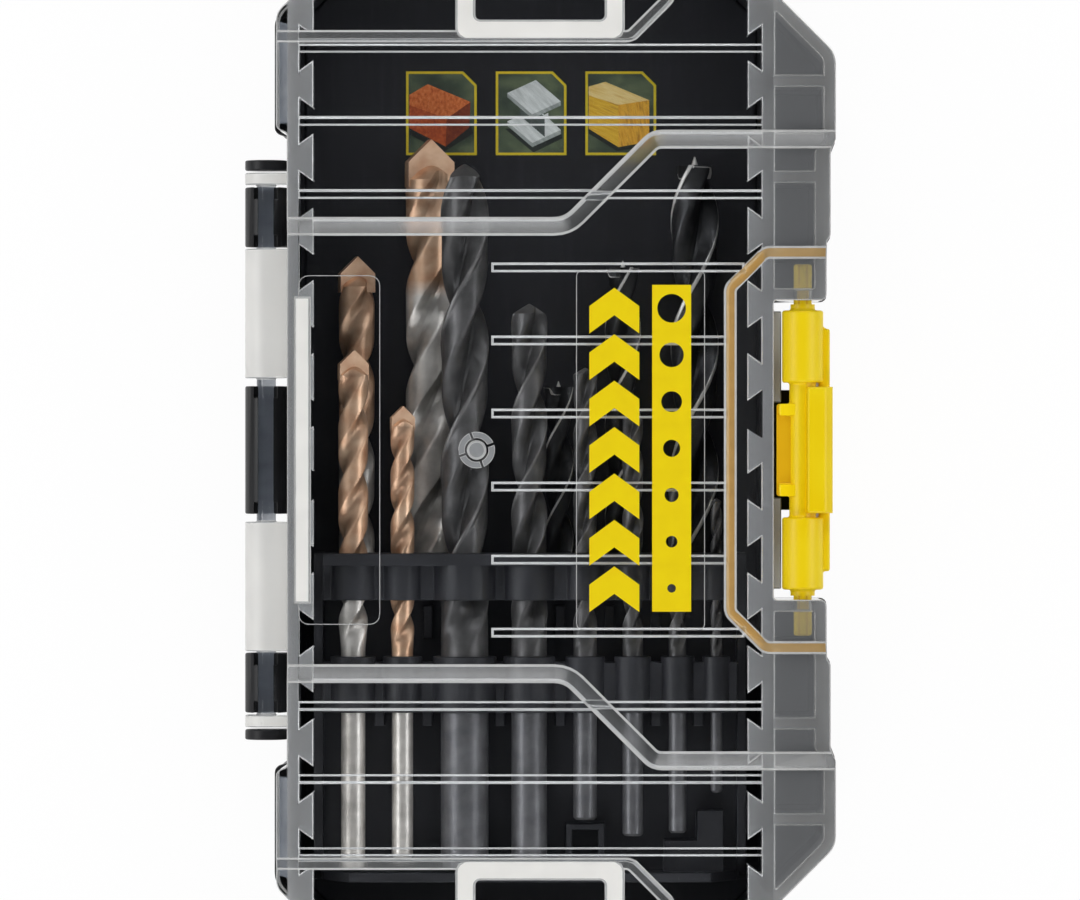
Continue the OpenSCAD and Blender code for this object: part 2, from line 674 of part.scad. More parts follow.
// Carbide plate across a masonry tip
module carbide(r, y) {
    translate([0, y, 0]) rotate([0, 35, 0]) along_y(-r * 1.6, r * 0.9)
        polygon([[-r, -r * 0.22], [r, -r * 0.22], [r, r * 0.22], [-r, r * 0.22]]);
}

// Bit b with its axis at height z: shank, twisted flutes and a tip that suits its kind
module drill_bit(b, z, tint) {
    r = b.y / 2;
    kind = b[5];
    heel = rack_foot + b[3];
    tip = rack_foot + b[4];
    run = sleeve_y + sleeve_l + 1.3;
    point = kind == 0 ? r * 0.9 : kind == 1 ? r * 0.62 : r * 0.5;
    flute_l = tip - point - run;
    turns = flute_l * tan(helix[kind]) / (PI * b.y);
    color(tint) translate([bit_x(b), 0, z]) {
        rod_y(b[2] / 2, 0, 0, heel, run + 0.4);
        translate([0, run, 0]) rotate([-90, 0, 0])
            linear_extrude(flute_l, twist = -360 * turns, slices = ceil(turns * 12), segments = 12)
                polygon(flute_section(r, kind == 0 ? 0.5 : 0.4, 12));
        translate([0, tip - point - 0.3, 0]) rotate([-90, 0, 0])
            cylinder(r1 = r * (kind == 2 ? 0.45 : 0.8), r2 = r * 0.1, h = point + 0.3, $fn = 24);
        if (kind == 0) intersection() {
            carbide(r, tip - point);
            translate([0, tip - 2.6 * r, 0]) rotate([-90, 0, 0])
                cylinder(r1 = 2.6 * r, r2 = 0.1, h = 2.6 * r, $fn = 24);
        }
    }
}

bronze = "#b87a5a";
dark_steel = "#3c3d40";
black_steel = "#2b2b2d";

base_shell();
lid_shell();
latch();
card_insert();
rack_frame();
lower_rack();
drill_bit(upper_bits[0], high_z, bronze);  // masonry_bit_5mm
drill_bit(upper_bits[1], high_z, bronze);  // masonry_bit_4mm
drill_bit(upper_bits[2], high_z, dark_steel);  // metal_bit_8mm
drill_bit(upper_bits[3], high_z, dark_steel);  // metal_bit_6mm
drill_bit(upper_bits[4], high_z, dark_steel);  // metal_bit_4mm
drill_bit(upper_bits[5], high_z, dark_steel);  // metal_bit_3_5mm
drill_bit(upper_bits[6], high_z, dark_steel);  // metal_bit_3mm
drill_bit(upper_bits[7], high_z, dark_steel);  // metal_bit_2mm
drill_bit(lower_bits[0], low_z, bronze);  // masonry_bit_6mm
drill_bit(lower_bits[1], low_z, bronze);  // masonry_bit_8mm
drill_bit(lower_bits[2], low_z, black_steel);  // wood_bit_5mm
drill_bit(lower_bits[3], low_z, black_steel);  // wood_bit_6mm
drill_bit(lower_bits[4], low_z, black_steel);  // wood_bit_8mm
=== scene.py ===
"""Drill bit case seen from straight above: black base, printed card, rack with thirteen bits,
clear lid and yellow latch, dressed over the frame that the CAD gives. Lengths here are in
millimetres and go into the meshes in metres. The hinge is at -X and the bit tips point to +Y."""

import math

import bmesh
import bpy
import numpy as np
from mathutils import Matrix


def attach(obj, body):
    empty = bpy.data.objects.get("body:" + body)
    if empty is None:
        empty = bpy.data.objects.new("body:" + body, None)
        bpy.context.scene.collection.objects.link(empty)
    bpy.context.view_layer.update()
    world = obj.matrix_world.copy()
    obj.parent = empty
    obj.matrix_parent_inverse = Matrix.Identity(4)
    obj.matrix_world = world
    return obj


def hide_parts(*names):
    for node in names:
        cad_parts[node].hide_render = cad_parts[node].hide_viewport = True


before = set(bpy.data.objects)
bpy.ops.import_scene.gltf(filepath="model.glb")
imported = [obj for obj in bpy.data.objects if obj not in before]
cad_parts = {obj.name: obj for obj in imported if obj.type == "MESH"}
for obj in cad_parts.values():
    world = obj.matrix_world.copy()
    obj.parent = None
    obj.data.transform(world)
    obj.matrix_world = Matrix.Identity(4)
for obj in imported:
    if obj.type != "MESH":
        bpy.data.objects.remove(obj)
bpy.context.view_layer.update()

# ---- base ----
# The lower half of the case: one injection moulding in black polypropylene, with hinge clips,
# hollow front strip, catch and stand-off rails. Its edges leave the mould slightly rounded.

MM = 0.001


def colour(code):
    """Turns an sRGB hex value such as 1c1c1e into the linear colour that a socket takes."""
    s = np.array([int(code[i : i + 2], 16) / 255 for i in (0, 2, 4)])
    return (*np.where(s <= 0.04045, s / 12.92, ((s + 0.055) / 1.055) ** 2.4), 1.0)


def add(tree, kind, links=(), values=(), stops=(), **settings):
    """Adds one node: links maps its inputs to other sockets, values sets its inputs, and stops
    are the (position, hex) pairs of a node with a colour ramp."""
    node = tree.nodes.new("ShaderNode" + kind)
    for key, value in settings.items():
        setattr(node, key, value)
    if stops:
        band = node.color_ramp.elements
        band.remove(band[1])
        band[0].position, band[0].color = stops[0][0], colour(stops[0][1])
        for place, code in stops[1:]:
            band.new(place).color = colour(code)
    for key, value in dict(values).items():
        node.inputs[key].default_value = value
    for key, socket in dict(links).items():
        tree.links.new(socket, node.inputs[key])
    return node


def finish_named(name):
    """An empty material with its node tree and its output node."""
    made = bpy.data.materials.new(name)
    made.use_nodes = True
    made.node_tree.nodes.clear()
    return made, made.node_tree, add(made.node_tree, "OutputMaterial")


# Width of the patches, in mm, in which the melt flowed and set
FLOW = 14


def grained(name, dark, light, roughness, grain_mm, depth_mm, specular=0.5):
    """Moulded plastic with a spark-eroded grain: a fine noise, drawn coarser than the real grain
    so that it shows, gives the bump, and a broad one the slight change of tone and gloss where
    the melt flowed."""
    made, tree, out = finish_named(name)
    where = add(tree, "TexCoord").outputs["Object"]
    grain = add(tree, "TexNoise", {"Vector": where}, {"Scale": 1 / (grain_mm * MM), "Detail": 3.0})
    broad = add(tree, "TexNoise", {"Vector": where}, {"Scale": 1 / (FLOW * MM), "Detail": 4.0})
    tone = add(tree, "ValToRGB", {0: broad.outputs["Fac"]}, stops=((0.35, dark), (0.65, light)))
    gloss = add(tree, "MapRange", {"Value": broad.outputs["Fac"]},
                {"From Min": 0.3, "From Max": 0.7,
                 "To Min": roughness - 0.06, "To Max": roughness + 0.06})
    bump = add(tree, "Bump", {"Height": grain.outputs["Fac"]},
               {"Distance": depth_mm * MM, "Strength": 0.6})
    shader = add(tree, "BsdfPrincipled",
                 {"Base Color": tone.outputs["Color"], "Roughness": gloss.outputs["Result"],
                  "Normal": bump.outputs["Normal"]}, {"Specular IOR Level": specular})
    tree.links.new(shader.outputs["BSDF"], out.inputs["Surface"])
    return made


# Two sides of a face count as facing each other up to this cosine between their directions
FACING = -0.3
# Sides that meet at less than this angle, in degrees, are left sharp
ACUTE = 25


def crowded(face, reach):
    """Edges of a face with another of its sides across from them within reach, or at an acute
    corner: a fillet there would run into the next one."""
    found = set()
    sides = [(k, k.vert.co, k.link_loop_next.vert.co - k.vert.co) for k in face.loops]
    for k, start, run in sides:
        if k.calc_angle() < math.radians(ACUTE):
            found |= {k.edge, k.link_loop_prev.edge}
        inward = face.normal.cross(run)
        for other, at, along in sides:
            if run.dot(along) > FACING * run.length * along.length:
                continue
            for point in (at, at + along):
                t = min(max((point - start).dot(run) / run.length_squared, 0), 1)
                gap = point - start - t * run
                if gap.length < reach and gap.dot(inward) > 0:
                    found |= {k.edge, other.edge}
    return found


# Points closer than this, in mm, are one point
SAME = 0.002
# Faces that meet at less than the first angle, in degrees, are one flat face. Those that meet at
# more than the second meet at an edge, and those between them are parts of a curve.
FLAT, SHARP = 0.6, 28
# Room that a fillet needs across a face, in radii
ROOM = 2.1


def moulded(name, node, body, material, radius, steps=2, slim=0.0):
    """A copy of a CAD node's mesh with its doubles merged and its flat faces joined, whose sharp
    edges a Bevel rounds: in full where there is room, otherwise by the share slim of the radius
    where that fits, and else not at all."""
    bm = bmesh.new()
    bm.from_mesh(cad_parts[node].data)
    bmesh.ops.remove_doubles(bm, verts=bm.verts, dist=SAME * MM)
    bmesh.ops.dissolve_limit(bm, angle_limit=math.radians(FLAT), verts=bm.verts, edges=bm.edges)
    bm.normal_update()
    weight = bm.edges.layers.float.new("bevel_weight_edge")
    need = ROOM * radius
    tight = set().union(*(crowded(f, need * MM) for f in bm.faces))
    tighter = set().union(*(crowded(f, need * slim * MM) for f in bm.faces)) if slim else tight
    bend = {e: math.degrees(e.calc_face_angle(0)) for e in bm.edges}
    for f in bm.faces:
        f.smooth = any(FLAT < bend[e] <= SHARP for e in f.edges)
    for e in bm.edges:
        sharp = len(e.link_faces) == 2 and bend[e] > SHARP
        e.smooth = not sharp
        e[weight] = 0.0 if not sharp or e in tighter else slim if e in tight else 1.0
    mesh = bpy.data.meshes.new(name)
    bm.to_mesh(mesh)
    bm.free()
    piece = bpy.data.objects.new(name, mesh)
    bpy.context.scene.collection.objects.link(piece)
    mesh.materials.append(material)
    bevel = piece.modifiers.new("edges", "BEVEL")
    bevel.width, bevel.segments, bevel.limit_method = radius * MM, steps, "WEIGHT"
    bevel.use_clamp_overlap, bevel.harden_normals = False, True
    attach(piece, body)
    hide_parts(node)
    return piece


# Polypropylene from a spark-eroded mould: a soft satin black that still shows grey in the light
black_polypropylene = grained("black_polypropylene", "101012", "18181b", 0.42, 0.35, 0.03, 0.38)
base = moulded("base_case", "base_shell", "base", black_polypropylene, 0.25)

# ---- card ----
# The printed card that lies loose on the floor: matt dark print with faint streaks, and three
# small pictures, in thin yellow frames with a cut corner, of what the bits are for.


def plate(name, outline, z0, z1, body, material):
    """A closed flat plate: a polygon in mm carried up from z0 to z1."""
    ring = np.array(outline, float)
    n = len(ring)
    points = np.vstack([np.c_[ring, np.full(n, z0)], np.c_[ring, np.full(n, z1)]]) * MM
    k = np.arange(n)
    walls = np.c_[k, (k + 1) % n, (k + 1) % n + n, k + n]
    faces = [k[::-1].tolist(), (k + n).tolist(), *walls.tolist()]
    mesh = bpy.data.meshes.new(name)
    mesh.from_pydata(points.tolist(), [], faces)
    piece = bpy.data.objects.new(name, mesh)
    bpy.context.scene.collection.objects.link(piece)
    mesh.materials.append(material)
    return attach(piece, body)


def printed(name, stops, across_mm, along_mm, roughness, turn=0):
    """Ink on card or plastic: a noise drawn out along one way, turned from Y by some degrees, runs
    through the colour stops."""
    made, tree, out = finish_named(name)
    where = add(tree, "TexCoord").outputs["Object"]
    drawn = add(tree, "Mapping", {"Vector": where},
                {"Scale": (across_mm * MM, along_mm * MM, across_mm * MM),
                 "Rotation": (0, 0, math.radians(turn))}, vector_type="TEXTURE")
    noise = add(tree, "TexNoise", {"Vector": drawn.outputs["Vector"]},
                {"Scale": 1.0, "Detail": 5.0})
    tone = add(tree, "ValToRGB", {0: noise.outputs["Fac"]}, stops=stops)
    shader = add(tree, "BsdfPrincipled", {"Base Color": tone.outputs["Color"]},
                 {"Roughness": roughness})
    tree.links.new(shader.outputs["BSDF"], out.inputs["Surface"])
    return made


# Top of the card, and a layer of ink, drawn thicker than a real one so that layers stay apart
CARD_TOP, INK = 2.6, 0.02
# Offset print on board with a dull varnish: near black, with streaks that barely show
dark_card = printed("dark_varnished_card", ((0.3, "101014"), (0.55, "141419"), (0.75, "1d1d23")),
                    0.9, 14, 0.5)
card = moulded("card", "card_insert", "base", dark_card, 0.08)

# Offset inks of the frames and of the ground behind the drawings, lighter and darker in clouds
yellow_line = printed("yellow_line_ink", ((0.3, "d9bf1c"), (0.7, "e6cc24")), 2, 2, 0.5)
picture_ground = printed("green_grey_ink", ((0.3, "232b28"), (0.5, "45523f"), (0.7, "6b7655")),
                         7, 5, 0.5)
# Size of a picture, its cut corner and the line of its frame, and where the middles lie
PICTURE_W, PICTURE_H, CUT, LINE = 11.9, 14.1, 2.3, 0.42
PICTURES_Y, BRICK_X, BEAM_X, TIMBER_X = 56.7, -16.6, -1.5, 13.6


def framed(x, inset):
    """Outline of a picture about x with its top right corner cut, drawn in by inset. The legs of
    the cut get shorter by 0.6 of that, so that the frame's line is even."""
    w, h, c = PICTURE_W / 2 - inset, PICTURE_H / 2 - inset, CUT - inset * 0.6
    y = PICTURES_Y
    return [(x - w, y - h), (x + w, y - h), (x + w, y + h - c), (x + w - c, y + h), (x - w, y + h)]


def inked(name, outline, layer, ink):
    """A flat shape in one ink, with its top some layers of ink above the card."""
    shape = plate(name, outline, CARD_TOP - INK, CARD_TOP + layer * INK, "base", ink)


def drawing(label, x, shapes):
    """A drawing of flat shapes, each over the one before: (ink, outline about the middle)."""
    for i, (ink, outline) in enumerate(shapes):
        inked(f"{label}_{i}", [(x + a, PICTURES_Y + b) for a, b in outline], 4 + i, ink)


for k, x in enumerate((BRICK_X, BEAM_X, TIMBER_X)):
    inked(f"picture_line_{k}", framed(x, 0), 1, yellow_line)
    inked(f"picture_{k}", framed(x, LINE), 2, picture_ground)

# The same inks, mixed for fired clay with a coarse grain, rolled steel with streaks along the beam
# and planed pine with its growth rings, each in three tones, and for the shade under them
shade = printed("shade_ink", ((0.3, "161b18"), (0.7, "222a25")), 3, 3, 0.5)
brick_top = printed("brick_light_ink", ((0.3, "b9501f"), (0.5, "dd7436"), (0.7, "e98a4b")),
                    0.45, 0.7, 0.55)
brick_side = printed("brick_ink", ((0.3, "93390f"), (0.5, "b9501f"), (0.7, "cd662c")),
                     0.45, 0.7, 0.55)
brick_end = printed("brick_dark_ink", ((0.3, "6b2810"), (0.7, "8f3d18")), 0.45, 0.7, 0.55)
drawing("brick_picture", BRICK_X, (
    (shade, ((-5.4, -3.6), (0.4, -6.5), (5.4, -3.4), (4.6, -1.0), (-5.4, -1.0))),
    (brick_top, ((-5.4, 3.1), (-5.4, 1.4), (0.9, -0.9), (4.9, 1.9), (-2.3, 4.9))),
    (brick_side, ((-5.4, 1.4), (-5.4, -2.5), (0.7, -5.6), (0.9, -0.9))),
    (brick_end, ((0.9, -0.9), (0.7, -5.6), (4.7, -2.4), (4.9, 1.9)))))
steel_light = printed("steel_light_ink", ((0.3, "c3c8c4"), (0.7, "ebeeea")), 0.5, 3, 0.5, 42)
steel_mid = printed("steel_ink", ((0.3, "8a918c"), (0.7, "b3b9b4")), 0.5, 3, 0.5, 42)
steel_dark = printed("steel_dark_ink", ((0.3, "38403c"), (0.7, "59625d")), 0.5, 3, 0.5, 42)
# A beam with an I section: shade, lower flange and its edge, web and its end, upper flange's edge
# and top
drawing("beam_picture", BEAM_X, (
    (shade, ((-4.4, -2.6), (0.4, -6.6), (5.3, -4.2), (4.6, -2.0))),
    (steel_light, ((0.2, -5.0), (5.0, -2.8), (1.1, 0.8), (-4.0, -1.4))),
    (steel_mid, ((0.2, -5.7), (5.0, -3.5), (5.0, -2.8), (0.2, -5.0), (-4.0, -1.4), (-4.0, -2.1))),
    (steel_dark, ((2.3, -0.6), (2.3, -4.0), (-1.9, -0.4), (-1.9, 2.8))),
    (steel_light, ((2.3, -0.2), (2.3, -4.0), (2.9, -3.7), (2.9, 0.1))),
    (steel_mid, ((0.2, -0.9), (5.0, 1.3), (5.0, 2.0), (0.2, -0.2), (-4.0, 3.4), (-4.0, 2.7))),
    (steel_light, ((0.2, -0.2), (5.0, 2.0), (0.8, 5.6), (-4.0, 3.4)))))
timber_top = printed("timber_light_ink", ((0.3, "e9c169"), (0.55, "f7dc95"), (0.75, "dca950")),
                     0.45, 6, 0.5, 68)
timber_side = printed("timber_ink", ((0.3, "d9a321"), (0.55, "efc03a"), (0.75, "b9822a")),
                      0.45, 6, 0.5, 68)
timber_end = printed("timber_end_ink", ((0.3, "d4921f"), (0.5, "f0b53a"), (0.7, "b0741f")),
                     0.5, 3, 0.5, 12)
drawing("timber_picture", TIMBER_X, (
    (shade, ((-5.4, -3.4), (-0.6, -6.4), (5.3, -5.4), (5.3, -2.4), (-5.4, -1.4))),
    (timber_top, ((-5.4, 4.5), (-5.4, 3.0), (-0.4, 1.4), (4.8, 2.2), (-2.6, 5.3))),
    (timber_side, ((-5.4, 3.0), (-0.4, 1.4), (-0.4, -5.7), (-5.4, -2.6))),
    (timber_end, ((-0.4, 1.4), (4.8, 2.2), (4.8, -4.8), (-0.4, -5.7)))))

# ---- rack ----
# The tilting holder: a deck with sleeves that grip the shanks and a front bar that guides the
# flutes, and a second holder under it for the lower layer. Moulded in dark grey polypropylene with
# a finer grain than the case.

# The case's plastic with less carbon black in it: a little greyer and duller
grey_polypropylene = grained("dark_grey_polypropylene", "19191c", "252529", 0.5, 0.3, 0.02)
rack = moulded("rack", "rack_frame", "rack", grey_polypropylene, 0.2)
holder = moulded("lower_holder", "lower_rack", "rack", grey_polypropylene, 0.2)

# ---- drill bits ----
# Thirteen twist drills. Masonry bits are rolled, with slow shallow flutes, a bronze lacquer and a
# brazed carbide plate across the tip. Metal bits are ground high speed steel with a dark steam
# oxide. Wood bits are blackened, with a centre spike, two spurs and margins ground bright.

# Along Y: the rack's foot, from which heels and tips are measured, and the front of its sleeves
RACK_FOOT, SLEEVE_END = -71.6, -35.2
# Heights of the axes of the two layers
UPPER, LOWER = 22.0, 9.5
# Left side and width of the rack's deck: a bit's place across is a share of it
DECK_LEFT, DECK_W = -36.0, 68.7
# Points round a bit, distance between its rows, rows over its tip and the share of the radius
# where these end
AROUND, STEP, TIP_ROWS, TIP_END = 120, 0.4, 9, 0.06
# Chamfer at the heel, and how far beyond the sleeve the flutes begin
CHAMFER, RUN_OUT = 0.4, 0.9

# Section of each kind over half a turn: angle in degrees and share of the radius. It starts at
# the cutting edge, runs over the land to the heel and back down through the flute.
SECTIONS = {
    "masonry": ((0, 1.0), (78, 0.98), (84, 0.82), (98, 0.64), (118, 0.56), (138, 0.60), (160, 0.76),
                (174, 0.94), (180, 1.0)),
    "metal": ((0, 1.0), (9, 1.0), (12, 0.95), (74, 0.95), (82, 0.88), (96, 0.58), (116, 0.36),
              (138, 0.28), (156, 0.34), (170, 0.62), (177, 0.92), (180, 1.0)),
    "wood": ((0, 1.0), (10, 1.0), (13, 0.93), (62, 0.92), (72, 0.84), (88, 0.55), (110, 0.36),
             (136, 0.28), (156, 0.36), (170, 0.64), (177, 0.92), (180, 1.0)),
}
# Angle of the flutes to the axis, in degrees
HELIX = {"masonry": 36, "metal": 31, "wood": 31}
# Share of the radius that a plain surface is marked with, and that of each kind's tip
PLAIN = 0.95
GROUND_TIP = {"masonry": 0.95, "metal": 0.985, "wood": 1.0}


def ease(t):
    """0 below 0, 1 above 1 and a smooth S between: 3t^2 - 2t^3."""
    t = np.clip(t, 0, 1)
    return t * t * (3 - 2 * t)


def tip_rise(kind, share):
    """How far a tip stands back from its point, in radii, at a share of the radius: a cone for a
    metal bit, a steeper dome under the carbide of a masonry bit, spike and spurs for wood."""
    if kind == "metal":
        return 0.6 * share
    if kind == "masonry":
        return 1.0 + 0.7 * share**1.5
    spike = np.interp(share, (0, 0.16, 0.3), (0, 0.5, 1.0))
    return spike - 0.55 * ease((share - 0.72) / 0.28)


def closed_tube(rows):
    """Points and faces of rows of points, each row a closed ring, with a fan to the middle of the
    first and of the last row."""
    n, m = rows.shape[:2]
    at = np.arange(n * m).reshape(n, m)
    right = np.roll(at, -1, 1)
    quads = np.stack([at[:-1], right[:-1], right[1:], at[1:]], -1).reshape(-1, 4)
    first, last = n * m, n * m + 1
    fans = [(first, int(b), int(a)) for a, b in zip(at[0], right[0])]
    fans += [(last, int(a), int(b)) for a, b in zip(at[-1], right[-1])]
    ends = np.stack([rows[0].mean(0), rows[-1].mean(0)])
    return np.vstack([rows.reshape(-1, 3), ends]), quads.tolist() + fans


def drill(kind, x, z, d, shank_d, heel, tip):
    """Twist drill along +Y. Each row is the section turned by 2 y tan(helix) / d, its radius eased
    from the shank's over one and a half diameters; the last rows close over the tip. The third
    array is each point's share of the full radius: 1 on the margins, low in the flutes."""
    r, shank_r = d / 2, shank_d / 2
    run = SLEEVE_END + RUN_OUT
    angle = np.arange(AROUND) * 2 * np.pi / AROUND
    edge, share = np.array(SECTIONS[kind]).T
    shoulder = tip - r * tip_rise(kind, np.array(1.0))
    y = np.concatenate([[heel, heel], [heel + CHAMFER, run - STEP / 2],
                        np.linspace(run, shoulder, max(8, int((shoulder - run) / STEP)))])
    at_heel = np.where(np.arange(len(y)) < 2, shank_r - CHAMFER, shank_r)
    at_heel[0] = shank_r * 0.3
    turn = 2 * np.maximum(y - run, 0) * math.tan(math.radians(HELIX[kind])) / d
    local = np.degrees(angle[None, :] - turn[:, None]) % 180
    cut = np.interp(local, edge, share)
    part = ease((y - run) / (1.5 * d))[:, None]
    radius = at_heel[:, None] * (1 - part) + cut * r * part
    shares = np.vstack([PLAIN * (1 - part) + cut * part,
                        np.full((TIP_ROWS, AROUND), GROUND_TIP[kind])])
    end_r = radius[-1][None, :] * np.linspace(1, TIP_END, TIP_ROWS)[:, None]
    end_y = tip - r * tip_rise(kind, end_r / r)
    radius = np.vstack([radius, end_r])
    along = np.vstack([np.repeat(y[:, None], AROUND, 1), end_y])
    rows = np.stack([x + radius * np.sin(angle), along, z + radius * np.cos(angle)], -1)
    return *closed_tube(rows), np.r_[shares.ravel(), PLAIN, GROUND_TIP[kind]]


# How far the carbide plate is turned about the bit's axis, in degrees, and half its thickness as a
# share of the diameter
LEAN, HALF_THICK = 18, 0.14


def carbide_plate(x, z, d, tip):
    """The brazed plate: a five-sided spear point across the bit, given its thickness both ways and
    turned about the bit's axis."""
    r, t = d / 2, HALF_THICK * d
    ring = np.array([(-1.0, -2.0), (1.0, -2.0), (1.0, -0.95), (0.0, 0.0), (-1.0, -0.95)]) * r
    n = len(ring)
    p = np.vstack([np.c_[ring[:, 0], ring[:, 1] + tip, np.full(n, h)] for h in (-t, t)])
    c, s = math.cos(math.radians(LEAN)), math.sin(math.radians(LEAN))
    p = np.c_[x + c * p[:, 0] + s * p[:, 2], p[:, 1], z - s * p[:, 0] + c * p[:, 2]]
    k = np.arange(n)
    walls = np.c_[k, (k + 1) % n, (k + 1) % n + n, k + n]
    return p, [k[::-1].tolist(), (k + n).tolist(), *walls.tolist()], np.full(2 * n, PLAIN)


# In mm: pitch of the grinding lines, drawn ten times as coarse as real ones so that they show,
# width of the mottled patches, and half the length over which one coat fades into the other
LINES, PATCH, FADE = 0.25, 3, 1.5
# Steel where the wheel took the coat off: the margins' bright edge
GROUND = "e4e1dc"


def steel(name, flute, shank, changes_at, roughness, metallic, margin):
    """Bit steel: the flutes have one pair of tones beyond changes_at (mm along Y) and the shank
    another, both mottled, darkened deep in the flutes by painted shade, and ground bright, by a
    share of margin, at the full radius. Fine grinding lines run round the bit in gloss and bump."""
    made, tree, out = finish_named(name)
    where = add(tree, "TexCoord").outputs["Object"]
    y = add(tree, "SeparateXYZ", {"Vector": where}).outputs["Y"]
    drawn = add(tree, "Mapping", {"Vector": where},
                {"Scale": (1 / (10 * LINES * MM), 1 / (LINES * MM), 1 / (10 * LINES * MM))})
    lines = add(tree, "TexNoise", {"Vector": drawn.outputs["Vector"]},
                {"Scale": 1.0, "Detail": 3.0})
    patch = add(tree, "TexNoise", {"Vector": where}, {"Scale": 1 / (PATCH * MM), "Detail": 5.0})
    coat = add(tree, "MapRange", {"Value": y},
               {"From Min": (changes_at - FADE) * MM, "From Max": (changes_at + FADE) * MM})
    plain, fluted = (add(tree, "ValToRGB", {0: patch.outputs["Fac"]},
                         stops=((0.3, tones[0]), (0.7, tones[1]))) for tones in (shank, flute))
    tone = add(tree, "MixRGB", {"Fac": coat.outputs["Result"], "Color1": plain.outputs["Color"],
                                "Color2": fluted.outputs["Color"]})
    share = add(tree, "Attribute", attribute_name="share").outputs["Fac"]
    # Painted shade: where the share is low, deep in the flutes, the tone is multiplied down to 0.45
    deep = add(tree, "MapRange", {"Value": share},
               {"From Min": 0.4, "From Max": 0.93, "To Min": 0.45, "To Max": 1.0})
    shaded_tone = add(tree, "VectorMath", {0: tone.outputs["Color"], 1: deep.outputs["Result"]},
               operation="MULTIPLY")
    rim = add(tree, "MapRange", {"Value": share},
              {"From Min": 0.965, "From Max": 0.995, "To Max": margin})
    tone = add(tree, "MixRGB", {"Fac": rim.outputs["Result"], "Color1": shaded_tone.outputs["Vector"]},
               {"Color2": colour(GROUND)})
    gloss = add(tree, "MapRange", {"Value": lines.outputs["Fac"]},
                {"From Min": 0.3, "From Max": 0.7,
                 "To Min": roughness - 0.07, "To Max": roughness + 0.07})
    bump = add(tree, "Bump", {"Height": lines.outputs["Fac"]},
               {"Distance": 0.012 * MM, "Strength": 0.5})
    shader = add(tree, "BsdfPrincipled",
                 {"Base Color": tone.outputs["Color"], "Roughness": gloss.outputs["Result"],
                  "Normal": bump.outputs["Normal"]}, {"Metallic": metallic})
    tree.links.new(shader.outputs["BSDF"], out.inputs["Surface"])
    return made


# Neighbouring faces that meet at less than this angle, in degrees, are shaded as one
SMOOTH = 30


def solid(name, points, faces, shares, body, material):
    """A closed mesh from points in mm. The shares go into an attribute for the shader, where there
    are any."""
    mesh = bpy.data.meshes.new(name)
    mesh.from_pydata((np.asarray(points) * MM).tolist(), [], faces)
    if len(shares):
        mesh.attributes.new("share", "FLOAT", "POINT").data.foreach_set("value", shares)
    mesh.materials.append(material)
    mesh.set_sharp_from_angle(angle=math.radians(SMOOTH))
    piece = bpy.data.objects.new(name, mesh)
    bpy.context.scene.collection.objects.link(piece)
    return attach(piece, body)


BRONZE, BRIGHT = ("cc9c7a", "f2cdab"), ("bdb7af", "efe9e0")
# Where the shanks of the dark bits end and their flutes begin, along Y
FLUTED = -36
# Steam-oxidised high speed steel: dark blue-grey, satin
steam_oxide = steel("steam_oxidised_steel", ("4b4a49", "666463"), ("5c5b5c", "757475"), FLUTED,
                    0.42, 0.6, 0.12)
# Black-oxide carbon steel with a dull oil finish
black_oxide = steel("black_oxide_steel", ("2c2c2d", "424243"), ("38383a", "4c4c4e"), FLUTED,
                    0.42, 0.6, 0.9)

# Each bit: its node, kind, place across as a share of the deck, layer, diameters of flutes and
# shank, heel and tip from the rack's foot, and where a masonry bit's lacquer begins along Y
for name, kind, across, z, d, shank_d, heel, tip, coat in (
        ("masonry_bit_5mm", "masonry", 0.073, UPPER, 5, 4, 2.3, 88.2, -21),
        ("masonry_bit_4mm", "masonry", 0.192, UPPER, 4, 3.5, 3.9, 78.9, -36.5),
        ("metal_bit_8mm", "metal", 0.342, UPPER, 8, 7.9, 2.3, 119.1, None),
        ("metal_bit_6mm", "metal", 0.498, UPPER, 6, 5.9, 2.6, 95.9, None),
        ("metal_bit_4mm", "metal", 0.633, UPPER, 4, 3.9, 10.3, 85.3, None),
        ("metal_bit_3_5mm", "metal", 0.748, UPPER, 3.5, 3.4, 7.6, 77.6, None),
        ("metal_bit_3mm", "metal", 0.856, UPPER, 3, 2.9, 8.1, 69.1, None),
        ("metal_bit_2mm", "metal", 0.950, UPPER, 2, 1.9, 14.8, 63.6, None),
        ("masonry_bit_6mm", "masonry", 0.077, LOWER, 6, 5, 4.0, 104.0, 3),
        ("masonry_bit_8mm", "masonry", 0.255, LOWER, 8, 7, 3.6, 123.6, 27),
        ("wood_bit_5mm", "wood", 0.569, LOWER, 5, 4.9, 3.3, 83.3, None),
        ("wood_bit_6mm", "wood", 0.726, LOWER, 6, 5.9, 10.5, 103.5, None),
        ("wood_bit_8mm", "wood", 0.901, LOWER, 8, 7.9, 4.0, 121.0, None)):
    x, heel, tip = DECK_LEFT + across * DECK_W, RACK_FOOT + heel, RACK_FOOT + tip
    if kind == "masonry":
        # Bronze lacquer over rolled steel, worn off the shank and the run-out of the flutes
        finish = steel(f"bronze_lacquered_steel_{d}", BRONZE, BRIGHT, coat, 0.38, 0.7, 0)
        slot = "bronze_steel"
    elif kind == "metal":
        finish, slot = steam_oxide, "dark_steel"
    else:
        finish, slot = black_oxide, "black_steel"
    piece = solid(f"{name}_ground", *drill(kind, x, z, d, shank_d, heel, tip), "rack", finish)
    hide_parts(name)
    if kind == "masonry":
        solid(f"{name}_carbide", *carbide_plate(x, z, d, tip), "rack", finish)

# ---- lid ----
# The upper half: one moulding in clear polycarbonate with its hinge pin. The flat plate is
# polished. The rim, the ends of the teeth and the slopes are a little matt. The edges' bright lines
# and the U frames' white are painted highlights, and the amber on the finger area's slope is a
# painted reflection of the latch.

# Heights of the lid's top, of the plate's underside and of the ends of the teeth
TOP, PLATE_UNDER, TEETH_END = 38.0, 33.3, 20.6
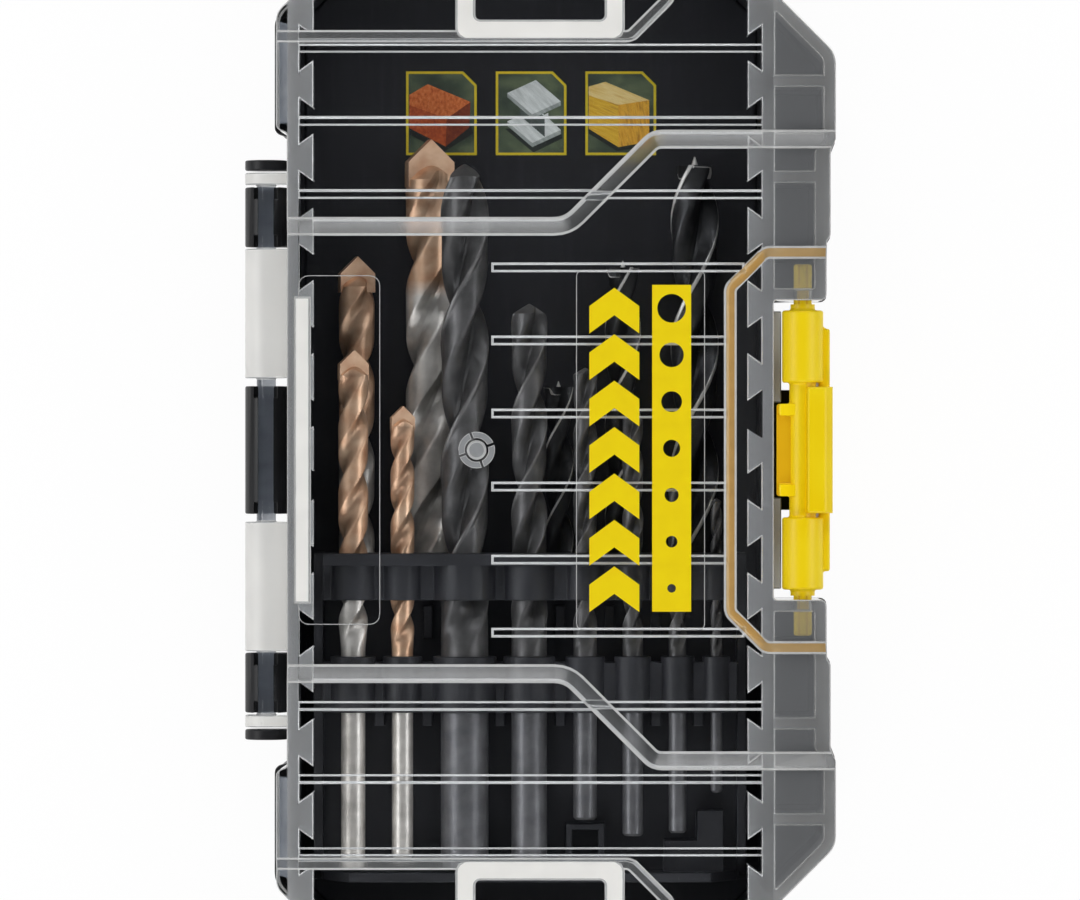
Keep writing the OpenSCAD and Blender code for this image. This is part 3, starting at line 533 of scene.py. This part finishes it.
# Scatter in the plastic below the plate and over the hollow strip, per metre: the walls, seen end
# on, turn grey. There is none in the hinge, at less than this x, and the strip begins at GALLERY.
CLOUD, CLOUDED, HINGE_SIDE, GALLERY = "f4f7fd", 320, -41.6, 38.3
# Width of the clouds in the haze, in mm
HAZE = 3.0


def clear_plastic(name, tint, roughness, haze=0.0, milk="ffffff"):
    """Clear plastic: glass of the plastic's IOR that lets the lamps through, so that what lies
    under it is lit. A share of haze covers it with milk, more and less along a noise."""
    made, tree, out = finish_named(name)
    shader = add(tree, "BsdfPrincipled", (), {"Base Color": colour(tint), "Roughness": roughness,
                                              "IOR": 1.5, "Transmission Weight": 1.0})
    where = add(tree, "TexCoord").outputs["Object"]
    surface = shader.outputs["BSDF"]
    if haze:
        noise = add(tree, "TexNoise", {"Vector": where}, {"Scale": 1 / (HAZE * MM), "Detail": 4.0})
        cover = add(tree, "MapRange", {"Value": noise.outputs["Fac"]},
                    {"From Min": 0.3, "From Max": 0.7,
                     "To Min": haze * 0.9, "To Max": min(haze * 1.1, 1)})
        milky = add(tree, "BsdfPrincipled", (), {"Base Color": colour(milk), "Roughness": 0.45})
        surface = add(tree, "MixShader", {0: cover.outputs["Result"], 1: surface,
                                          2: milky.outputs["BSDF"]}).outputs["Shader"]
    through = add(tree, "BsdfTransparent", (), {"Color": colour("f8f9fa")})
    shadow = add(tree, "LightPath").outputs["Is Shadow Ray"]
    skin = add(tree, "MixShader", {0: shadow, 1: surface, 2: through.outputs["BSDF"]})
    tree.links.new(skin.outputs["Shader"], out.inputs["Surface"])
    place = add(tree, "SeparateXYZ", {"Vector": where}).outputs
    low = add(tree, "Math", {0: place["Z"]}, {1: PLATE_UNDER * MM}, operation="LESS_THAN")
    strip = add(tree, "Math", {0: place["X"]}, {1: GALLERY * MM}, operation="GREATER_THAN")
    inside = add(tree, "Math", {0: place["X"]}, {1: HINGE_SIDE * MM}, operation="GREATER_THAN")
    walls = add(tree, "Math", {0: low.outputs[0], 1: strip.outputs[0]}, operation="MAXIMUM")
    clouded = add(tree, "Math", {0: walls.outputs[0], 1: inside.outputs[0]}, operation="MULTIPLY")
    dense = add(tree, "Math", {0: clouded.outputs[0]}, {1: CLOUDED}, operation="MULTIPLY")
    cloud = add(tree, "VolumeScatter", {"Density": dense.outputs[0]},
                {"Color": colour(CLOUD), "Anisotropy": -0.35})
    tree.links.new(cloud.outputs["Volume"], out.inputs["Volume"])
    return made


# Polycarbonate from a polished mould: sharp to look through, with a trace of smoke
polycarbonate = clear_plastic("clear_polycarbonate", "f2f4f7", 0.02)
# The same, matt from the mould's parting faces: walls and teeth seen from above end in this grey
matt_rim = clear_plastic("matt_parting_face", "f2f4f7", 0.3, 0.8, "7b818b")
# Slopes of the mould were hand polished, so they stay slightly milky
milky_slope = clear_plastic("milky_slope", "f2f4f7", 0.2, 0.08, "a9aaa8")
# Painted highlight: the bevelled edges take a whitish milk in place of the bright lines of light
# along the moulding's rounded edges
painted_edge_glint = clear_plastic("painted_edge_highlight", "ffffff", 0.2, 0.5, "f4f4f2")
# The ring of the gate, where the plastic was cut off
gate_mark = clear_plastic("gate_mark", "f2f4f7", 0.25, 0.4, "c9cbcd")
# White milk on the tops of the U frames, a painted highlight in place of the softbox's reflection
# in their bevels, and frosting on the hinge knuckles and the bar beside them
frost_and_glint = clear_plastic("frosted_and_glint_polycarbonate", "ffffff", 0.35, 0.93, "fffdf8")
# Painted reflection: the slope round the finger area takes an amber milk in place of the latch's
# yellow reflected in the plastic
painted_latch_reflection = clear_plastic("painted_latch_reflection_slope", "f4e0b4", 0.2, 0.4, "ffcb74")

# The lid's finishes in the order of its material slots
CLEAR, MATT, SLOPE, EDGE, FROST_AND_GLINT, GATE, LATCH_REFLECTION = range(7)
lid = moulded("clear_lid", "lid_shell", "lid", polycarbonate, 0.2, slim=0.3)
for finish in (matt_rim, milky_slope, painted_edge_glint, frost_and_glint, gate_mark, painted_latch_reflection):
    lid.data.materials.append(finish)
# The bevels' new faces take the painted edge highlight
lid.modifiers["edges"].material = EDGE

# A face counts as level above this z of its normal, and as a slope between the next two
LEVEL, SLOPING = 0.9, (0.6, 0.95)
# Slopes above this height show from above, and those of the finger area lie beyond FINGER_X and
# within FINGER_Y of the middle
SLOPES_FROM, FINGER_X, FINGER_Y = 33, 27, 34
# Hinge axis, and how far from it the knuckles' faces lie: the pin is nearer, the wall farther
HINGE_X, HINGE_Z, KNUCKLE = -45.5, 20.0, (2.0, 4.6)
# Middle of the gate, its radius, and the heights between which its ring lies
GATE_X, GATE_R, GATE_Z = -10.4, 3, (36.7, 37.5)
# Below this height the front strip has its ledge, and a part of the top that is smaller than this,
# in square mm, is a U frame or the bar
LEDGE, SMALL = 24, 250


def lid_finish(x, y, z, steep, area):
    """Which of the lid's finishes a face takes, from its middle in mm, its normal's z and its
    area in square mm."""
    if steep < -LEVEL and z < TEETH_END + 0.1:
        return MATT
    if SLOPING[0] < abs(steep) < SLOPING[1] and z > SLOPES_FROM:
        # The finger area's slopes take the painted reflection of the latch
        return LATCH_REFLECTION if x > FINGER_X and abs(y) < FINGER_Y else SLOPE
    if x < HINGE_SIDE and KNUCKLE[0] < math.hypot(x - HINGE_X, z - HINGE_Z) < KNUCKLE[1]:
        return FROST_AND_GLINT
    if steep > LEVEL and abs(x - GATE_X) < GATE_R and abs(y) < GATE_R and GATE_Z[0] < z < GATE_Z[1]:
        return GATE
    # Small level faces at the top, the U frames and the bar, and the front strip's ledge take the
    # white milk: on the U frames it is a painted highlight, elsewhere frosting
    ledge = x > GALLERY and z < LEDGE
    if steep > LEVEL and (z > TOP - 0.1 and area < SMALL or ledge):
        return FROST_AND_GLINT
    return CLEAR


for face in lid.data.polygons:
    face.material_index = lid_finish(*(face.center / MM), face.normal.z, face.area / MM**2)

# ---- latch ----
# The yellow latch: a thick grip between two barrels, with an inward panel and two moulded pins that
# turn in the lid's blocks. Glossy ABS with soft edges.

# ABS coloured through, from a polished mould: full yellow, satin, with hardly any grain
yellow_abs = grained("yellow_abs", "fbd600", "ffe00a", 0.4, 0.6, 0.004, 0.35)
# The recessed panel between the rims: matt from the mould, and a darker amber as painted shade in
# the recess
recess_shaded_abs = grained("matt_abs_painted_recess_shade", "e0ab00", "e8b500", 0.6, 0.6, 0.01, 0.2)
# Heights between which the panel lies
PANEL_Z = (30.9, 31.9)
latch = moulded("yellow_latch", "latch", "latch", yellow_abs, 0.4, 3)
latch.data.materials.append(recess_shaded_abs)
# Level faces of the panel take the darker ABS, which is painted shade
for face in latch.data.polygons:
    level = face.normal.z > LEVEL
    face.material_index = int(level and PANEL_Z[0] * MM < face.center.z < PANEL_Z[1] * MM)

# ---- print on the lid ----
# Pad print in opaque yellow on the recessed field beside the latch: seven chevrons, and a bar with
# a row of round windows that grow like the holes of a drill gauge.

# Opaque pad-print ink: even, slightly satin
yellow_ink = printed("yellow_pad_ink", ((0.3, "f9da00"), (0.7, "fde000")), 3, 3, 0.4)
# Height of the field, and of the ink's underside and top, which is drawn thick enough to show
FIELD = 36.35
UNDER, OVER = FIELD - 0.01, FIELD + 0.04
# Chevrons: middle, foot of the first, pitch, width, thickness and how far the middle rises
CHEVRON_X, CHEVRON_Y, CHEVRON_PITCH = 12.2, -26.6, 7.62
CHEVRON_W, CHEVRON_H, RISE = 8.2, 4.5, 3.0


def chevron(x, y):
    """Six-sided arrow head that points to +Y: its feet at y, and its middle higher by the rise."""
    left, right, up = x - CHEVRON_W / 2, x + CHEVRON_W / 2, y + CHEVRON_H
    return [(left, y), (x, y + RISE), (right, y), (right, up), (x, up + RISE), (left, up)]


for k in range(7):
    mark = chevron(CHEVRON_X, CHEVRON_Y + CHEVRON_PITCH * k)
    plate(f"print_chevron_{k}", mark, UNDER, OVER, "lid", yellow_ink)

# Bar: middle, middle of its first cell, pitch, width and height of a cell, and the holes' radii
CELL_X, CELL_Y, CELL_PITCH, CELL_W, CELL_H = 21.6, -22.7, 7.66, 6.4, 7.68
HOLES = (0.7, 0.95, 1.15, 1.4, 1.7, 2.0, 2.35)
# Points round a cell, not counting its corners
CELL_POINTS = 60


def window_cell(x, y, hole):
    """A rectangle with a round hole as a closed ring: at each angle the section runs from the
    hole's edge to the rectangle's, over the top and back underneath."""
    corner = math.atan2(CELL_H, CELL_W)
    even = (np.arange(CELL_POINTS) + 0.5) * 2 * np.pi / CELL_POINTS
    a = np.sort(np.r_[even, corner, np.pi - corner, np.pi + corner, 2 * np.pi - corner])
    n, c, s = len(a), np.cos(a), np.sin(a)
    reach = 1 / np.maximum(np.abs(c) * 2 / CELL_W, np.abs(s) * 2 / CELL_H)
    rings = [(hole, UNDER), (reach, UNDER), (reach, OVER), (hole, OVER)]
    points = np.vstack([np.c_[x + r * c, y + r * s, np.full(n, z)] for r, z in rings])
    at = np.arange(4 * n).reshape(4, n)
    after = np.roll(at, -1, 0)
    quads = np.stack([at, np.roll(at, -1, 1), np.roll(after, -1, 1), after], -1)
    return points, quads.reshape(-1, 4)[:, ::-1].tolist(), ()


for k, hole in enumerate(HOLES):
    cell = window_cell(CELL_X, CELL_Y + CELL_PITCH * k, hole)
    solid(f"print_window_{k}", *cell, "lid", yellow_ink)

# ---- view ----
# A studio table: white sweep, grey walls, soft lamps on four sides, and a long lens straight above
# the case. The sweep shows white to the lens and keeps the case's shadow.

# Strength of the white that the sweep shows, its share over the plain surface that takes the
# shadow, and half the sweep's side in metres
GLOW, SHOWN, SWEEP = 1.02, 0.93, 3
white, tree, out = finish_named("white_sweep")
diffuse = add(tree, "BsdfDiffuse", (), {"Color": colour("f2f2f2")})
shine = add(tree, "Emission", (), {"Color": (1, 1, 1, 1), "Strength": GLOW})
path = add(tree, "LightPath").outputs
seen = add(tree, "Math", {0: path["Is Camera Ray"], 1: path["Is Glossy Ray"]}, operation="MAXIMUM")
seen = add(tree, "Math", {0: seen.outputs[0], 1: path["Is Transmission Ray"]}, operation="MAXIMUM")
lit = add(tree, "Math", {0: seen.outputs[0]}, {1: SHOWN}, operation="MULTIPLY")
mixed = add(tree, "MixShader", {0: lit.outputs[0], 1: diffuse.outputs[0], 2: shine.outputs[0]})
tree.links.new(mixed.outputs["Shader"], out.inputs["Surface"])
mesh = bpy.data.meshes.new("floor")
corners = [(-SWEEP, -SWEEP, 0), (SWEEP, -SWEEP, 0), (SWEEP, SWEEP, 0), (-SWEEP, SWEEP, 0)]
mesh.from_pydata(corners, [], [(0, 1, 2, 3)])
mesh.materials.append(white)
floor = bpy.data.objects.new("floor", mesh)
bpy.context.scene.collection.objects.link(floor)

# Grey walls round the table, and a dark ceiling over the lens, so that blacks stay black
world = bpy.data.worlds.new("studio")
world.use_nodes = True
sky = world.node_tree
height = add(sky, "SeparateXYZ", {"Vector": add(sky, "TexCoord").outputs["Generated"]}).outputs["Z"]
walls = add(sky, "ValToRGB", {0: height}, stops=((0.8, "8c9095"), (0.97, "1c1d20")))
sky.links.new(walls.outputs["Color"], sky.nodes["Background"].inputs["Color"])
sky.nodes["Background"].inputs["Strength"].default_value = 0.5
bpy.context.scene.world = world

# Softboxes: distance from the case in metres, tilt from straight down in degrees, size in metres
# and power in watts
AWAY, TILT, WIDE, DEEP, POWER = 0.7, math.radians(52), 0.5, 0.3, 1.6
for k in range(4):
    turn = math.radians(90 * k)
    lamp = bpy.data.lights.new(f"softbox_{k}", "AREA")
    lamp.shape, lamp.size, lamp.size_y, lamp.energy = "RECTANGLE", WIDE, DEEP, POWER
    box = bpy.data.objects.new(f"softbox_{k}", lamp)
    out_to = AWAY * math.sin(TILT)
    box.location = (out_to * math.sin(turn), -out_to * math.cos(turn), AWAY * math.cos(TILT))
    box.rotation_euler = (TILT, 0, turn)
    bpy.context.scene.collection.objects.link(box)

# In metres: height of the lens over the table and over the lid's top, and the width seen there
EYE_Z, OVER_LID, SEEN_W = 1.3, 1.262, 0.177
lens = bpy.data.cameras.new("lens")
lens.sensor_width = 36
lens.lens = lens.sensor_width * OVER_LID / SEEN_W
eye = bpy.data.objects.new("eye", lens)
eye.location = (0, 0, EYE_Z)
bpy.context.scene.collection.objects.link(eye)
bpy.context.scene.camera = eye
bpy.context.scene.view_settings.view_transform = "Standard"
